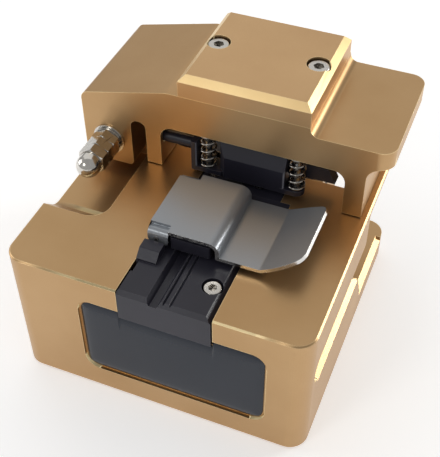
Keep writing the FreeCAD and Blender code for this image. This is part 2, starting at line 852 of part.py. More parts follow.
def make_press_parts():
    pin = new_body("plate_pin")
    pad(pin, "XZ", B.flap_front - 0.2, B.flap_back + 0.2,
        (S.pin_across, S.pin_high, S.pin_radius))
    keep("plate_pin", pin)
    holder = new_body("press_pad_holder")
    left, right = S.pin_across + 3.5, S.flap_step - S.sheet - 0.5
    under = S.flap_high - S.sheet
    pad(holder, "XY", 0.7, under,
        box_outline(left, right, B.flap_front + 0.3, B.flap_back - S.sheet - 0.2, 0.5))
    cut(holder, "XY", 0.7 - OVER, 1.3,
        box_outline(S.fibre_line - S.pad_wide / 2, S.fibre_line + S.pad_wide / 2,
                    B.flap_front + 3.0, B.flap_back - 4.0))
    keep("press_pad_holder", holder)
    rubber = new_body("press_pad")
    pad(rubber, "XY", 0.35, 1.3,
        box_outline(S.fibre_line - S.pad_wide / 2, S.fibre_line + S.pad_wide / 2,
                    B.flap_front + 3.0, B.flap_back - 4.0))
    keep("press_pad", rubber)


# ---------------------------------------------------------------- press lever

def make_press_lever():
    body = new_body("press_lever")
    front, back = B.lever_front, B.lever_front + S.lever_depth
    side_view = [
        (0.0, -S.pillar_low, 3.0),
        (S.pillar_right, -S.pillar_low, 1.5),
        (S.pillar_right, S.arch_top - 0.3, 2.1),
        (S.pier_left, S.arch_top - 0.3, 2.1),
        (S.pier_left, S.pier_gap),
        (S.arch_left, S.pier_gap),
        (S.arch_left, S.arch_top, 3.5),
        (S.arch_right, S.arch_top, 3.5),
        (S.arch_right, S.pier_gap),
        (S.pier_right, S.pier_gap),
        (S.pier_right, S.overhang_low, 4.0),
        (S.lever_right, S.overhang_low),
        (S.lever_right, S.plateau_top),
        (S.plateau_left, S.plateau_top, 2.3),
        (S.plateau_left - 0.2, S.lever_top),
        (S.lever_bend, S.lever_top, 6.0),
        (0.0, S.lever_left_top, 2.5),
    ]
    pad(body, "XZ", front, back, side_view)
    # hinge cut round the base's lug, open to the left and below
    reach = S.lug_round + 0.5
    hinge_cut = [
        (-OVER, -(S.pillar_low + OVER)),
        (S.hinge_across + reach, -(S.pillar_low + OVER)),
        (S.hinge_across + reach, S.hinge_high + reach, 5.0),
        (-OVER, S.hinge_high + reach),
    ]
    cut(body, "XZ", B.lug_front - 0.3, B.lug_back + 0.3, hinge_cut)
    cut(body, "XZ", front - OVER, back + OVER, (S.hinge_across, S.hinge_high, S.bolt_radius + 0.03))
    cut(body, "XZ", back - S.bolt_seat, back + OVER,
        (S.hinge_across, S.hinge_high, S.bolt_head + 0.3))
    # slot for the clamp rod's end in the inner face of the left pier
    rod_room = S.rod_radius + 0.25
    cut(body, "YZ", S.arch_left - 1.9, S.arch_left + 0.5,
        box_outline(B.rod_back - rod_room, B.rod_back + rod_room, S.rod_high - rod_room,
                    S.rod_high + rod_room + S.clamp_travel, rod_room - 0.01))
    # threads for the clamp's guide screws and for the cap screws
    cut(body, "XY", S.arch_top - 0.5, S.arch_top + S.clamp_screw_grip,
        *[(x, B.stud_back, S.clamp_screw_shank) for x in (S.stud_left, S.stud_right)])
    cut(body, "XY", S.lever_top - 5.0, S.lever_top + OVER,
        *[(x, y, S.cap_screw_shank + 0.05) for x, y in cap_screw_spots()])
    # round the outer corners of the overhang in plan
    blend(body, "Fillet", S.plateau_round, is_overhang_corner)
    keep("press_lever", body)


def is_overhang_corner(edge):
    """Whether an edge is one of the two upright edges at the lever's right end."""
    x_min, x_max, y_min, y_max, z_min, z_max = edge_box(edge)
    upright = z_max - z_min > 2.0 and near(y_max - y_min, 0.0)
    return upright and near(x_min, S.lever_right) and near(x_max, S.lever_right)


def cap_screw_spots():
    y = B.lever_front + S.cap_screw_back
    left = S.cap_left + S.cap_screw_inset
    right = S.cap_left + S.cap_width - S.cap_screw_inset
    return [(left, y), (right, y)]


def make_lever_cap():
    body = new_body("lever_cap")
    low, top = S.lever_top, S.lever_top + S.cap_tall
    left, right = S.cap_left, S.cap_left + S.cap_width
    front, back = B.lever_front, B.lever_front + S.cap_depth
    pad(body, "XY", low, top, box_outline(left, right, front, back))
    blend(body, "Chamfer", S.cap_bevel, lambda edge: level_edge(edge, top))
    for x, y in cap_screw_spots():
        cut(body, "XY", top - 3.6, top + OVER, (x, y, S.cap_screw_head + 0.4))
        cut(body, "XY", low - OVER, top, (x, y, S.cap_screw_shank + 0.15))
    keep("lever_cap", body)
    screws = []
    for i, (x, y) in enumerate(cap_screw_spots()):
        screws.append(make_screw("cap_screw_%d" % (i + 1), "cap_screw", S.cap_screw_shank,
                                 S.cap_screw_long, x=x, y=y, z=top - 3.6))
    keep("cap_screws", *screws)


# ---------------------------------------------------------------- hinge bolt and its nuts

AWAY = FreeCAD.Rotation(FreeCAD.Vector(1, 0, 0), 90)      # turns +Z to face the front
BACKWARD = FreeCAD.Rotation(FreeCAD.Vector(1, 0, 0), -90)  # turns +Z to face the back


def at_hinge(y, turn):
    return {"x": S.hinge_across, "y": y, "z": S.hinge_high, "turn": turn}


def make_hinge_parts():
    front, back = B.lever_front, B.lever_front + S.lever_depth
    stack = S.washer_thick + S.lock_thick + S.nut_thick * 2
    length = S.lever_depth - S.bolt_seat + stack + 4.0
    bolt = make_screw("hinge_bolt", "bolt", S.bolt_radius, length,
                      **at_hinge(back - S.bolt_seat, BACKWARD))
    keep("hinge_bolt", bolt)
    hole = S.bolt_radius + 0.03
    washer = new_body("plain_washer", **at_hinge(front, AWAY))
    pad(washer, "XY", 0.0, S.washer_thick, (0.0, 0.0, 4.5), (0.0, 0.0, hole))
    keep("plain_washer", washer)
    lock = new_body("spring_washer", **at_hinge(front - S.washer_thick, AWAY))
    pad(lock, "XY", 0.0, S.lock_thick, (0.0, 0.0, 3.8), (0.0, 0.0, hole))
    split = [(1.0, -0.45), (5.0, -0.05), (5.0, 0.75), (1.0, 0.35)]
    cut(lock, "XY", -OVER, S.lock_thick + OVER, split)
    keep("spring_washer", lock)
    nuts = []
    for i in range(2):
        nut = new_body("hex_nut_%d" % (i + 1), **at_hinge(
            front - S.washer_thick - S.lock_thick - S.nut_thick * i, AWAY))
        pad(nut, "XY", 0.0, S.nut_thick, hexagon(S.nut_corner, 30))
        dome_nut_edges(nut, S.nut_thick)
        cut(nut, "XY", -OVER, S.nut_thick + OVER, (0.0, 0.0, hole))
        nuts.append(nut)
    keep("hex_nut", *nuts)
    acorn = new_body("acorn_nut", **at_hinge(front - stack, AWAY))
    pad(acorn, "XY", 0.0, S.nut_thick, hexagon(S.nut_corner, 30))
    dome_nut_edges(acorn, S.nut_thick)
    dome = [(0.0, S.nut_thick - 0.5), (3.25, S.nut_thick - 0.5), (3.25, S.acorn_tall, 3.2),
            (0.0, S.acorn_tall)]
    turn_solid(acorn, dome)
    cut(acorn, "XY", -OVER, 4.6, (0.0, 0.0, hole))
    keep("acorn_nut", acorn)
    bushes = []
    for i, (low, high) in enumerate([(B.lug_front, B.lug_front + S.bush_long),
                                     (B.lug_back - S.bush_long, B.lug_back)]):
        bush = new_body("hinge_bush_%d" % (i + 1))
        pad(bush, "XZ", low, high, (S.hinge_across, S.hinge_high, S.bush_radius),
            (S.hinge_across, S.hinge_high, S.bolt_radius + S.run_gap))
        bushes.append(bush)
    keep("hinge_bushes", *bushes)


def dome_nut_edges(nut, tall):
    """Turn away a nut's sharp hexagon corners at both faces."""
    groove = nut.newObject("PartDesign::Groove", nut.Label + "_groove")
    inner, outer = S.nut_corner - 0.54, S.nut_corner + 0.26
    top = [(inner, tall), (outer, tall - 0.46), (outer, tall)]
    foot = [(inner, 0.0), (outer, 0.0), (outer, 0.46)]
    sketch = new_sketch(nut, "XZ", 0.0, [top, foot])
    groove.Profile = sketch
    groove.ReferenceAxis = (sketch, ["V_Axis"])
    groove.Angle = 360


# ---------------------------------------------------------------- clamp under the lever

def make_clamp_block():
    body = new_body("clamp_block")
    low, top = S.clamp_low, S.clamp_top
    plan = [
        (S.clamp_left + 1.6, B.clamp_front),
        (S.clamp_right, B.clamp_front, 0.4),
        (S.clamp_right, B.clamp_back, 0.8),
        (S.clamp_left, B.clamp_back, 0.8),
        (S.clamp_left, B.clamp_front + 1.6),
    ]
    pad(body, "XY", low, top, plan)
    # ears that the guide screws pass through, the right one rounded about its screw
    pad(body, "XY", low, S.ear_top,
        box_outline(S.ear_left, S.clamp_left + OVER, B.clamp_front + 0.2, B.ear_back, 0.6))
    ear_half = S.ear_right - S.stud_right
    pad(body, "XY", low, S.ear_top,
        [(S.clamp_right - OVER, B.stud_back - ear_half),
         (S.ear_right, B.stud_back - ear_half, ear_half - 0.01),
         (S.ear_right, B.stud_back + ear_half, ear_half - 0.01),
         (S.clamp_right - OVER, B.stud_back + ear_half)])
    # lug that holds the rod's end, and the wing behind the right spring
    pad(body, "XY", low, S.rod_high + S.rod_radius + 0.6,
        box_outline(S.ear_left, S.ear_left + 1.6, B.clamp_front + 0.2, B.ear_back, 0.3))
    wing = [
        (S.clamp_right - OVER, low + 3.0),
        (S.wing_right, low + 3.0),
        (S.wing_right - 2.0, low + 7.2, 0.8),
        (S.clamp_right - OVER, low + 7.2),
    ]
    pad(body, "XZ", B.ear_back, B.ear_back + 3.4, wing)
    # slanted shoulder along the top front edge
    slope_back = S.clamp_slope * 0.55
    bevel = [
        (B.clamp_front - OVER, top - S.clamp_slope),
        (B.clamp_front, top - S.clamp_slope),
        (B.clamp_front + slope_back, top),
        (B.clamp_front + slope_back, top + OVER),
        (B.clamp_front - OVER, top + OVER),
    ]
    cut(body, "YZ", S.clamp_left - OVER, S.clamp_right + OVER, bevel)
    # slot for the anvil, grooves for the pads, bores for the rod and the guide screws
    cut(body, "XY", low - OVER, top + OVER,
        box_outline(S.fibre_line - 2.6, S.fibre_line + 2.6, B.blade_line - 1.8,
                    B.blade_line + 1.8, 0.4))
    for front, back in upper_pad_spans():
        cut(body, "XY", low - OVER, low + 0.8,
            box_outline(S.fibre_line - S.pad_wide / 2, S.fibre_line + S.pad_wide / 2, front, back))
    cut(body, "YZ", S.ear_left - OVER, S.ear_left + 2.6,
        (B.rod_back, S.rod_high, S.rod_radius))
    for x in (S.stud_left, S.stud_right):
        cut(body, "XY", low - OVER, S.ear_top + OVER,
            (x, B.stud_back, S.clamp_screw_shank + 0.2))
        cut(body, "XY", low - OVER, low + 1.2, (x, B.stud_back, S.clamp_screw_head + 0.2))
    keep("clamp_block", body)


def upper_pad_spans():
    """Front and back ends of the two upper pads."""
    return [(B.clamp_front + 1.0, B.blade_line - 2.6), (B.blade_line + 2.6, B.clamp_back - 1.0)]


def lower_pad_spans():
    """Front and back ends of the two lower pads."""
    return [(B.seat_front + S.pad_inset, B.window_front - 1.2), (B.blade_line + 2.8, B.clamp_back - 0.6)]


def make_clamp_parts():
    pads = []
    for i, (front, back) in enumerate(upper_pad_spans()):
        piece = new_body("upper_clamp_pad_%d" % (i + 1))
        pad(piece, "XY", 0.35, S.clamp_low + 0.8,
            box_outline(S.fibre_line - S.pad_wide / 2, S.fibre_line + S.pad_wide / 2, front, back))
        pads.append(piece)
    keep("upper_clamp_pads", *pads)
    rod = new_body("clamp_rod")
    pad(rod, "YZ", S.arch_left - 1.6, S.ear_left + 1.6, (B.rod_back, S.rod_high, S.rod_radius))
    keep("clamp_rod", rod)
    screws = []
    reach = S.arch_top - S.clamp_low - 1.2 + S.clamp_screw_grip - 0.4
    over = FreeCAD.Rotation(FreeCAD.Vector(1, 0, 0), 180)
    for i, x in enumerate((S.stud_left, S.stud_right)):
        screws.append(make_screw("clamp_guide_screw_%d" % (i + 1), "clamp_screw",
                                 S.clamp_screw_shank, reach, x=x, y=B.stud_back,
                                 z=S.clamp_low + 1.2, turn=over))
    keep("clamp_guide_screws", *screws)
    anvil = new_body("anvil")
    pad(anvil, "XY", 0.5, S.arch_top,
        box_outline(S.fibre_line - S.pad_wide / 2, S.fibre_line + S.pad_wide / 2, B.blade_line - 1.2,
                    B.blade_line + 1.2, 0.3))
    keep("anvil", anvil)
    for label, x in (("clamp_spring_left", S.stud_left), ("clamp_spring_right", S.stud_right)):
        spring = new_body(label, x=x, y=B.stud_back, z=S.ear_top)
        coil(spring, S.arch_top - S.ear_top, 2.0, 0.3, 6.0)
        keep(label, spring)


def coil(body, length, radius, wire, turns):
    """A wire wound about the body's Z axis between two end planes."""
    sketch = new_sketch(body, "XZ", 0.0, [(radius, wire, wire)])
    helix = body.newObject("PartDesign::AdditiveHelix", body.Label + "_helix")
    helix.Profile = sketch
    helix.ReferenceAxis = (sketch, ["V_Axis"])
    helix.Mode = 2
    bind(helix, "Height", sized(length) - 2 * wire)
    helix.Turns = turns


# ---------------------------------------------------------------- lower clamps

def make_lower_clamps():
    left, right = S.seat_left, S.seat_right
    ends = [
        ("front_clamp_base", B.seat_front + 0.1, B.window_front - 0.1, 0),
        ("rear_clamp_base", B.blade_line + 2.3, S.base_depth - 0.9, 1),
    ]
    for label, front, back, index in ends:
        body = new_body(label)
        pad(body, "XY", -(S.seat_deep - 0.02), -0.6, box_outline(left, right, front, back, 0.4))
        pad_front, pad_back = lower_pad_spans()[index]
        cut(body, "XY", -1.3, OVER,
            box_outline(S.fibre_line - S.pad_wide / 2, S.fibre_line + S.pad_wide / 2, pad_front, pad_back))
        for x, y in clamp_screw_spots()[2 * index:2 * index + 2]:
            cut(body, "XY", -2.6, OVER, (x, y, 2.0))
            cut(body, "XY", -S.seat_deep - OVER, OVER, (x, y, 1.1))
        keep(label, body)
    pads = []
    for i, (front, back) in enumerate(lower_pad_spans()):
        piece = new_body("lower_clamp_pad_%d" % (i + 1))
        pad(piece, "XY", -1.3, -0.05,
            box_outline(S.fibre_line - S.pad_wide / 2, S.fibre_line + S.pad_wide / 2, front, back))
        pads.append(piece)
    keep("lower_clamp_pads", *pads)
    screws = []
    for i, (x, y) in enumerate(clamp_screw_spots()):
        screws.append(make_screw("clamp_base_screw_%d" % (i + 1), "seat_screw", S.seat_screw_shank,
                                 S.seat_screw_long, x=x, y=y, z=-2.6))
    keep("clamp_base_screws", *screws)


# ---------------------------------------------------------------- blade carriage

def make_carriage():
    body = new_body("blade_carriage")
    left, right = S.carriage_left, S.carriage_right
    side_view = [
        (left, -S.carriage_low, 1.0),
        (right, -S.carriage_low, 1.0),
        (right, -S.carriage_top, 1.5),
        (S.nose_left, -S.carriage_top, 1.5),
        (S.nose_left, -S.carriage_tail, 1.5),
        (left, -S.carriage_tail, 1.5),
    ]
    pad(body, "XZ", B.carriage_front, B.carriage_back, side_view)
    for y in (B.rail_front, B.rail_back):
        cut(body, "YZ", left - OVER, right + OVER, (y, -S.rail_deep, S.rail_bush_radius))
    # boss against the blade and the thread of its axle screw
    pad(body, "XZ", B.blade_line + S.blade_thick / 2 + 0.05, B.carriage_front + 0.5,
        (S.blade_across, blade_axis(), 2.2))
    cut(body, "XZ", B.blade_line - OVER, B.carriage_front + 6.0,
        (S.blade_across, blade_axis(), S.axle_shank))
    cut(body, "YZ", right - 6.0, right + OVER,
        ((B.arm_front + B.arm_back) / 2, -(S.arm_top + S.arm_low) / 2, 1.25))
    keep("blade_carriage", body)
    bushes = []
    for y in (B.rail_front, B.rail_back):
        for low in (left, right - S.rail_bush_long):
            bush = new_body("carriage_bush_%d" % (len(bushes) + 1))
            pad(bush, "YZ", low, low + S.rail_bush_long, (y, -S.rail_deep, S.rail_bush_radius),
                (y, -S.rail_deep, S.rail_radius + S.run_gap))
            bushes.append(bush)
    keep("carriage_bushes", *bushes)


def blade_axis():
    """Height of the blade's axle."""
    return S.blade_top - S.blade_radius


def make_carriage_parts():
    arm_end = S.pocket_right
    arm = new_body("push_arm")
    pad(arm, "YZ", S.carriage_right, arm_end,
        box_outline(B.arm_front, B.arm_back, -S.arm_low, -S.arm_top, 0.8))
    keep("push_arm", arm)
    button = new_body("push_button")
    pad(button, "YZ", arm_end, S.chamber_left,
        box_outline(B.arm_front, B.arm_back, -S.arm_low, -S.arm_top, 1.6))
    blend(button, "Fillet", 0.8, lambda edge: near(edge.BoundBox.XMin, S.chamber_left))
    keep("push_button", button)
    rails = []
    for i, y in enumerate((B.rail_front, B.rail_back)):
        rail = new_body("slide_rail_%d" % (i + 1))
        pad(rail, "YZ", S.pocket_left - S.rail_seat, S.chamber_left - 0.2,
            (y, -S.rail_deep, S.rail_radius))
        rails.append(rail)
    keep("slide_rails", *rails)
    toward = FreeCAD.Rotation(FreeCAD.Vector(0, 1, 0), 90)
    spring = new_body("drive_spring", x=S.carriage_right, y=B.rail_front, z=-S.rail_deep,
                      turn=toward)
    coil(spring, S.pocket_right - S.carriage_right, 2.75, 0.3, 7.0)
    keep("drive_spring", spring)
    blade = new_body("blade_wheel")
    place(blade, x=S.blade_across, y=B.blade_line, z=blade_axis(), turn=AWAY)
    turn_solid(blade, blade_profile())
    keep("blade_wheel", blade)
    axle = make_screw("blade_axle_screw", "axle", S.axle_shank, S.axle_long,
                      x=S.blade_across, y=B.blade_line - S.blade_thick / 2 - 0.5,
                      z=blade_axis(), turn=AWAY)
    keep("blade_axle_screw", axle)
    washer = new_body("blade_washer", x=S.blade_across, y=B.blade_line - S.blade_thick / 2 - 0.05,
                      z=blade_axis(), turn=AWAY)
    pad(washer, "XY", 0.0, 0.45, (0.0, 0.0, 3.2), (0.0, 0.0, S.axle_shank))
    keep("blade_washer", washer)


def blade_profile():
    """Half section of the blade wheel, ground thin at its rim, with its running bore."""
    radius, half = S.blade_radius, S.blade_thick / 2
    thin = half * 0.25
    bore = S.axle_shank + S.run_gap
    return [
        (bore, -half),
        (radius - 1.6, -half),
        (radius, -thin),
        (radius, thin),
        (radius - 1.6, half),
        (bore, half),
    ]


# ---------------------------------------------------------------- build and write

def build():
    make_base_block()
    make_label_plate()
    make_bottom_plate()
    make_rubber_feet()
    make_bottom_plate_screws()
    make_fibre_guide()
    make_guide_parts()
    make_press_plate()
    make_press_parts()
    make_press_lever()
    make_lever_cap()
    make_hinge_parts()
    make_clamp_block()
    make_clamp_parts()
    make_lower_clamps()
    make_carriage()
    make_carriage_parts()


def check_and_write():
    """Stop on any failed object, then write one STEP file for each node."""
    doc.recompute()
    for item in doc.Objects:
        if "Invalid" in item.State or "Error" in item.State:
            raise RuntimeError("failed: %s %s" % (item.Label, item.State))
    os.makedirs("parts", exist_ok=True)
    for label, solids in NODES.items():
        for solid in solids:
            if solid.Shape.isNull() or not solid.Shape.isValid():
                raise RuntimeError("bad shape: " + solid.Label)
            if len(solid.Shape.Solids) != 1:
                raise RuntimeError("%s has %d solids" % (solid.Label, len(solid.Shape.Solids)))
        if len(solids) == 1:
            shape = solids[0].Shape
        else:
            group = doc.addObject("Part::Compound", label)
            group.Label = label
            group.Links = solids
            doc.recompute()
            shape = group.Shape
        shape.exportStep("parts/" + label + ".step")
        print("%-22s %d solids %10.2f mm3" % (label, len(shape.Solids), shape.Volume))


build()
check_and_write()
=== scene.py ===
import json
import math

import bmesh
import bpy
import numpy as np
from mathutils import Matrix, Vector


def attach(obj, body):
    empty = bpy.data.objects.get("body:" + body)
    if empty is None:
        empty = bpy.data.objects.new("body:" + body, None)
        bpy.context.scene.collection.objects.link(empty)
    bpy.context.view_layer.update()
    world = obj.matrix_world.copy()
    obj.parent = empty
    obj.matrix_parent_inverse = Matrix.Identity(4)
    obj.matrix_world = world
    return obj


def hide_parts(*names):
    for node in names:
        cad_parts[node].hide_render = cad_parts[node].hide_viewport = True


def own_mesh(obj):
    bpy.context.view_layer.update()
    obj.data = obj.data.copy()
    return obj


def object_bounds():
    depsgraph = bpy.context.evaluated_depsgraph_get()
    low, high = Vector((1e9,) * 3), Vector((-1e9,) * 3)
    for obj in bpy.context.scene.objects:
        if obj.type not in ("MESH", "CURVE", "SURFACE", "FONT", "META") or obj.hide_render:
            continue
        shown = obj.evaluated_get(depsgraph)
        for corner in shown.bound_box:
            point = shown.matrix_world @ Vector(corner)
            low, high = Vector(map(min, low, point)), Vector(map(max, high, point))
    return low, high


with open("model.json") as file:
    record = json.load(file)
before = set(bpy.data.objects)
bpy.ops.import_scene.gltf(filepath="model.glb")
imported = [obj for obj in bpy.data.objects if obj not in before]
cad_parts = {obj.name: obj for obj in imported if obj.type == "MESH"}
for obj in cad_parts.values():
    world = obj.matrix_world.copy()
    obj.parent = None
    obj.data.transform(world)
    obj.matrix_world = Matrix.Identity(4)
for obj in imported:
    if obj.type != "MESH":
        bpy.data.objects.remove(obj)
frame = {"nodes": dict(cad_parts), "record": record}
CAD_LOW, CAD_HIGH = [list(corner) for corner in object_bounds()]
NODES = frame["nodes"]
MM = 0.001


# ---------------------------------------------------------------- camera, floor and light

VIEW_PLACE = (0.067225, -0.160777, 0.201546)
VIEW_FORWARD = (-0.26768, 0.65752, -0.70428)
VIEW_RIGHT = (0.92741, 0.37402, -0.0033)
VIEW_LENS = 71.03


def make_camera():
    """A long lens from the front right, about 45 degrees above the deck."""
    forward = Vector(VIEW_FORWARD).normalized()
    right = Vector(VIEW_RIGHT)
    right = (right - forward * right.dot(forward)).normalized()
    up = right.cross(forward)
    data = bpy.data.cameras.new("view")
    data.lens = VIEW_LENS
    data.clip_start = 0.01
    camera = bpy.data.objects.new("view", data)
    bpy.context.scene.collection.objects.link(camera)
    turn = Matrix((right, up, -forward)).transposed().to_4x4()
    camera.matrix_world = Matrix.Translation(VIEW_PLACE) @ turn
    bpy.context.scene.camera = camera


def make_world():
    """White to the camera, and a softer even grey to everything else."""
    world = bpy.data.worlds.new("studio")
    bpy.context.scene.world = world
    world.use_nodes = True
    nodes, links = world.node_tree.nodes, world.node_tree.links
    nodes.clear()
    out = nodes.new("ShaderNodeOutputWorld")
    soft = nodes.new("ShaderNodeBackground")
    white = nodes.new("ShaderNodeBackground")
    mix = nodes.new("ShaderNodeMixShader")
    path = nodes.new("ShaderNodeLightPath")
    soft.inputs["Color"].default_value = (1.0, 1.0, 1.0, 1)
    soft.inputs["Strength"].default_value = 0.40
    white.inputs["Strength"].default_value = 1.0
    links.new(path.outputs["Is Camera Ray"], mix.inputs[0])
    links.new(soft.outputs[0], mix.inputs[1])
    links.new(white.outputs[0], mix.inputs[2])
    links.new(mix.outputs[0], out.inputs["Surface"])


LAMP_AIM = (0.0, 0.0, 0.04)
WARM_WHITE = (1.0, 1.0, 0.98)
COOL_WHITE = (0.98, 0.98, 1.0)

# name, place, size and power of each square lamp, and its colour
LAMPS = (
    ("rear_softbox", (-0.32, 0.66, 0.78), 1.1, 1.7, WARM_WHITE),
    ("front_high", (-0.20, -0.46, 0.46), 0.15, 0.42, WARM_WHITE),
    ("right_low", (0.52, 0.42, 0.17), 0.22, 1.9, WARM_WHITE),
    ("left_fill", (-0.55, -0.10, 0.25), 0.30, 0.7, COOL_WHITE),
)


def make_lamps():
    """A broad lamp behind, a small one above the front, one low at the right, and a fill."""
    for name, place, size, power, colour in LAMPS:
        data = bpy.data.lights.new(name, "AREA")
        data.shape = "SQUARE"
        data.size = size
        data.energy = power
        data.color = colour
        lamp = bpy.data.objects.new(name, data)
        bpy.context.scene.collection.objects.link(lamp)
        direction = Vector(LAMP_AIM) - Vector(place)
        turn = direction.to_track_quat("-Z", "Y").to_matrix().to_4x4()
        lamp.matrix_world = Matrix.Translation(place) @ turn


def make_floor():
    """A pale floor, white to the camera except for the soft shadow."""
    half = 1.5
    below_feet = 0.1 * MM
    mesh = bpy.data.meshes.new("floor")
    z = CAD_LOW[2] - below_feet
    corners = [(-half, -half, z), (half, -half, z), (half, half, z), (-half, half, z)]
    mesh.from_pydata(corners, [], [(0, 1, 2, 3)])
    floor = bpy.data.objects.new("floor", mesh)
    bpy.context.scene.collection.objects.link(floor)
    material = bpy.data.materials.new("floor_white")
    material.use_nodes = True
    shader = material.node_tree.nodes["Principled BSDF"]
    shader.inputs["Base Color"].default_value = (0.93, 0.93, 0.93, 1)
    shader.inputs["Roughness"].default_value = 0.7
    shader.inputs["Emission Color"].default_value = (1.0, 1.0, 1.0, 1)
    shader.inputs["Emission Strength"].default_value = 0.38
    mesh.materials.append(material)


# ---------------------------------------------------------------- shader node groups

def new_group(name, inputs, outputs):
    """An empty shader group with named value, colour or vector sockets."""
    group = bpy.data.node_groups.new(name, "ShaderNodeTree")
    kinds = {"value": "NodeSocketFloat", "colour": "NodeSocketColor", "vector": "NodeSocketVector"}
    for label, kind, default in inputs:
        socket = group.interface.new_socket(label, in_out="INPUT", socket_type=kinds[kind])
        if default is not None:
            socket.default_value = default
    for label, kind in outputs:
        group.interface.new_socket(label, in_out="OUTPUT", socket_type=kinds[kind])
    return group, group.nodes.new("NodeGroupInput"), group.nodes.new("NodeGroupOutput")


def math_node(tree, operation, a, b, clamp=False):
    """One arithmetic node whose inputs are sockets or numbers."""
    node = tree.nodes.new("ShaderNodeMath")
    node.operation = operation
    node.use_clamp = clamp
    for index, value in enumerate((a, b)):
        if isinstance(value, (int, float)):
            node.inputs[index].default_value = value
        else:
            tree.links.new(value, node.inputs[index])
    return node.outputs[0]


def mix_colour(tree, share, a, b):
    """Mix two colours, each a socket or an rgb tuple, by a share from 0 to 1."""
    node = tree.nodes.new("ShaderNodeMix")
    node.data_type = "RGBA"
    share_in, a_in, b_in = node.inputs[0], node.inputs[6], node.inputs[7]
    tree.links.new(share, share_in)
    for socket, value in ((a_in, a), (b_in, b)):
        if isinstance(value, tuple):
            socket.default_value = value + (1.0,)
        else:
            tree.links.new(value, socket)
    return node.outputs[2]


def object_coordinates(tree):
    """The piece's own coordinates, in metres."""
    return tree.nodes.new("ShaderNodeTexCoord").outputs["Object"]


def make_edge_highlight_group():
    """A mask that is high on sharp edges: how far a rounded normal leans from the true one.  It
    places a painted highlight along the edges.
    """
    group, inside, outside = new_group(
        "edge_highlight", [("Radius", "value", 0.0004), ("Gain", "value", 6.0)], [("Mask", "value")])
    bevel = group.nodes.new("ShaderNodeBevel")
    bevel.samples = 6
    group.links.new(inside.outputs["Radius"], bevel.inputs["Radius"])
    geometry = group.nodes.new("ShaderNodeNewGeometry")
    dot = group.nodes.new("ShaderNodeVectorMath")
    dot.operation = "DOT_PRODUCT"
    group.links.new(bevel.outputs[0], dot.inputs[0])
    group.links.new(geometry.outputs["True Normal"], dot.inputs[1])
    lean = math_node(group, "SUBTRACT", 1.0, dot.outputs["Value"])
    mask = math_node(group, "MULTIPLY", lean, inside.outputs["Gain"], clamp=True)
    group.links.new(mask, outside.inputs["Mask"])
    return group


def make_grain_group():
    """Fine blasted grain: two noises, one of the grit and one of slow cloudiness."""
    group, inside, outside = new_group(
        "blasted_grain",
        [("Vector", "vector", None), ("Grit", "value", 3500.0), ("Cloud", "value", 45.0),
         ("Depth", "value", 0.25), ("Distance", "value", 0.00002)],
        [("Grit", "value"), ("Cloud", "value"), ("Normal", "vector")])
    grit = group.nodes.new("ShaderNodeTexNoise")
    grit.inputs["Detail"].default_value = 3.0
    cloud = group.nodes.new("ShaderNodeTexNoise")
    cloud.inputs["Detail"].default_value = 4.0
    for node, scale in ((grit, "Grit"), (cloud, "Cloud")):
        group.links.new(inside.outputs["Vector"], node.inputs["Vector"])
        group.links.new(inside.outputs[scale], node.inputs["Scale"])
    bump = group.nodes.new("ShaderNodeBump")
    group.links.new(inside.outputs["Depth"], bump.inputs["Strength"])
    group.links.new(inside.outputs["Distance"], bump.inputs["Distance"])
    group.links.new(grit.outputs["Fac"], bump.inputs["Height"])
    group.links.new(grit.outputs["Fac"], outside.inputs["Grit"])
    group.links.new(cloud.outputs["Fac"], outside.inputs["Cloud"])
    group.links.new(bump.outputs[0], outside.inputs["Normal"])
    return group


def make_brush_group():
    """Drawn or brushed lines: noise stretched along one direction of the Vector."""
    group, inside, outside = new_group(
        "brushed_lines",
        [("Vector", "vector", None), ("Stretch", "vector", (60.0, 4000.0, 4000.0)),
         ("Depth", "value", 0.2), ("Distance", "value", 0.00001)],
        [("Lines", "value"), ("Normal", "vector")])
    scaled = group.nodes.new("ShaderNodeVectorMath")
    scaled.operation = "MULTIPLY"
    group.links.new(inside.outputs["Vector"], scaled.inputs[0])
    group.links.new(inside.outputs["Stretch"], scaled.inputs[1])
    lines = group.nodes.new("ShaderNodeTexNoise")
    lines.inputs["Scale"].default_value = 1.0
    lines.inputs["Detail"].default_value = 3.0
    group.links.new(scaled.outputs[0], lines.inputs["Vector"])
    bump = group.nodes.new("ShaderNodeBump")
    group.links.new(inside.outputs["Depth"], bump.inputs["Strength"])
    group.links.new(inside.outputs["Distance"], bump.inputs["Distance"])
    group.links.new(lines.outputs["Fac"], bump.inputs["Height"])
    group.links.new(lines.outputs["Fac"], outside.inputs["Lines"])
    group.links.new(bump.outputs[0], outside.inputs["Normal"])
    return group


EDGE_HIGHLIGHT = make_edge_highlight_group()
GRAIN = make_grain_group()
BRUSH = make_brush_group()


def place_group(tree, group, **values):
    """A group node in a material, its named inputs set to numbers, tuples or sockets."""
    node = tree.nodes.new("ShaderNodeGroup")
    node.node_tree = group
    for label, value in values.items():
        socket = node.inputs[label]
        if isinstance(value, bpy.types.NodeSocket):
            tree.links.new(value, socket)
        else:
            socket.default_value = value
    return node


# ---------------------------------------------------------------- materials

def srgb(text):
    """Linear colour of a six digit hexadecimal sRGB code."""
    levels = [int(text[i:i + 2], 16) / 255 for i in (0, 2, 4)]
    return tuple(v / 12.92 if v <= 0.04045 else ((v + 0.055) / 1.055) ** 2.4 for v in levels)


def new_material(name, metallic, roughness):
    """A material with its plain shader values set, its tree and its shader."""
    material = bpy.data.materials.new(name)
    material.use_nodes = True
    tree = material.node_tree
    shader = tree.nodes["Principled BSDF"]
    shader.inputs["Metallic"].default_value = metallic
    shader.inputs["Roughness"].default_value = roughness
    return material, tree, shader


